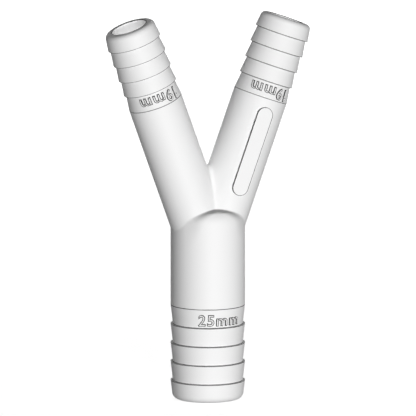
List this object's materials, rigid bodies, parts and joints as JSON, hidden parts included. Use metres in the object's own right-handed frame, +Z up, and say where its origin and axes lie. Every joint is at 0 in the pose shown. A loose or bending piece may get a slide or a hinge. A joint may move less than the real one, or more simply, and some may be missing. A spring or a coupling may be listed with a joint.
{
  "type": "tubing y connector",
  "caption": "Moulded plastic Y connector for hose: a barbed stem divides into a pair of smaller barbed branches.",
  "frame": {"origin": "centre of the stem's end face, which is also the middle of the bounding box's underside", "axes": "+Z up the stem's axis to the fork, the branches lean to +X and -X, and the front, which has the raised pad on the +X branch, faces -Y"},
  "size_m": [0.0784, 0.0274, 0.1423],
  "materials": {
    "white_plastic": "smooth satin"
  },
  "bodies": {
    "root": {"y_connector": "white_plastic"}
  },
  "joints": []
}
